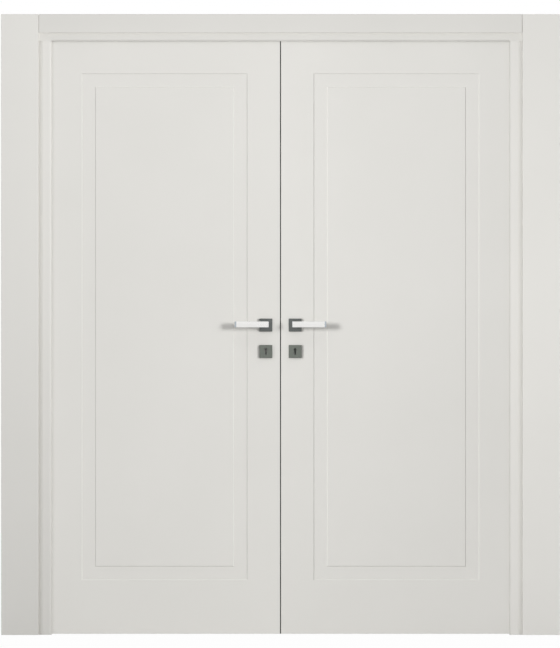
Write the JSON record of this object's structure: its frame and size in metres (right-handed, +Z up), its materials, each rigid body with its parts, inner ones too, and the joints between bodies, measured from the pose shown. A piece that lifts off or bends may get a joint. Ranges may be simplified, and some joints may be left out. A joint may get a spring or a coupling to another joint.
{
  "type": "double hinged door",
  "caption": "White lacquered double interior door with routed leaves in a rebated frame with casings, lever handles, mortise lock, flush bolts and butt hinges.",
  "frame": {"origin": "floor level, on the centre line between the leaves, in the middle of the leaf thickness", "axes": "+X to the right seen from the push side, +Y away from the push side, +Z up"},
  "size_m": [1.8996, 0.154, 2.111],
  "materials": {
    "lacquer": "satin white lacquer",
    "steel": "satin",
    "nickel": "satin dark nickel",
    "bright": "satin chrome",
    "white_rubber": "matte",
    "dark_rubber": "matte"
  },
  "bodies": {
    "frame": {"left_jamb": "lacquer", "right_jamb": "lacquer", "head_jamb": "lacquer", "front_left_casing": "lacquer", "front_right_casing": "lacquer", "front_head_casing": "lacquer", "rear_left_casing": "lacquer", "rear_right_casing": "lacquer", "rear_head_casing": "lacquer", "left_stop_seal": "white_rubber", "right_stop_seal": "white_rubber", "head_stop_seal": "white_rubber", "left_upper_jamb_plate": "steel", "left_middle_jamb_plate": "steel", "left_lower_jamb_plate": "steel", "right_upper_jamb_plate": "steel", "right_middle_jamb_plate": "steel", "right_lower_jamb_plate": "steel", "left_hinge_pins": "steel", "right_hinge_pins": "steel", "bolt_keeper": "steel", "frame_screws": "steel"},
    "left_leaf": {"left_leaf": "lacquer", "left_upper_leaf_plate": "steel", "left_middle_leaf_plate": "steel", "left_lower_leaf_plate": "steel", "left_meeting_seal": "dark_rubber", "strike_plate": "steel", "upper_bolt_plate": "steel", "lower_bolt_plate": "steel", "left_leaf_screws": "steel", "left_front_rose": "nickel", "left_rear_rose": "nickel", "left_front_key_rose": "nickel", "left_rear_key_rose": "nickel"},
    "left_levers": {"left_front_lever": "bright", "left_rear_lever": "bright", "left_spindle": "steel", "left_grub_screws": "steel"},
    "upper_bolt": {"upper_flush_bolt": "steel"},
    "lower_bolt": {"lower_flush_bolt": "steel"},
    "right_leaf": {"right_leaf": "lacquer", "right_upper_leaf_plate": "steel", "right_middle_leaf_plate": "steel", "right_lower_leaf_plate": "steel", "right_meeting_seal": "dark_rubber", "lock_case": "steel", "lock_front": "steel", "right_leaf_screws": "steel", "right_front_rose": "nickel", "right_rear_rose": "nickel", "right_front_key_rose": "nickel", "right_rear_key_rose": "nickel"},
    "right_levers": {"right_front_lever": "bright", "right_rear_lever": "bright", "right_spindle": "steel", "lock_follower": "steel", "right_grub_screws": "steel"},
    "latch": {"latch_bolt": "steel"},
    "dead_bolt": {"dead_bolt": "steel"}
  },
  "joints": [
    {"name": "left_leaf_swing", "type": "hinge", "parent": "frame", "child": "left_leaf", "pos_m": [-0.78925, 0.029, 0], "axis": [0, 0, 1], "range_deg": [0, 110]},
    {"name": "right_leaf_swing", "type": "hinge", "parent": "frame", "child": "right_leaf", "pos_m": [0.78925, 0.029, 0], "axis": [0, 0, -1], "range_deg": [0, 110]},
    {"name": "left_lever_turn", "type": "hinge", "parent": "left_leaf", "child": "left_levers", "pos_m": [-0.04975, 0, 1.054], "axis": [0, -1, 0], "range_deg": [0, 40], "stiffness_Nm_per_rad": 1, "springref_deg": -34.38},
    {"name": "right_lever_turn", "type": "hinge", "parent": "right_leaf", "child": "right_levers", "pos_m": [0.04975, 0, 1.054], "axis": [0, 1, 0], "range_deg": [0, 40], "stiffness_Nm_per_rad": 1, "springref_deg": -34.38},
    {"name": "latch_slide", "type": "slide", "parent": "right_leaf", "child": "latch", "axis": [1, 0, 0], "range_m": [0, 0.011]},
    {"name": "dead_bolt_slide", "type": "slide", "parent": "right_leaf", "child": "dead_bolt", "axis": [-1, 0, 0], "range_m": [0, 0.014]},
    {"name": "upper_bolt_slide", "type": "slide", "parent": "left_leaf", "child": "upper_bolt", "axis": [0, 0, 1], "range_m": [0, 0.015]},
    {"name": "lower_bolt_slide", "type": "slide", "parent": "left_leaf", "child": "lower_bolt", "axis": [0, 0, -1], "range_m": [0, 0.015]}
  ],
  "couplings": [
    {"joint": "latch_slide", "follows": "right_lever_turn", "m_per_rad": 0.01575}
  ]
}
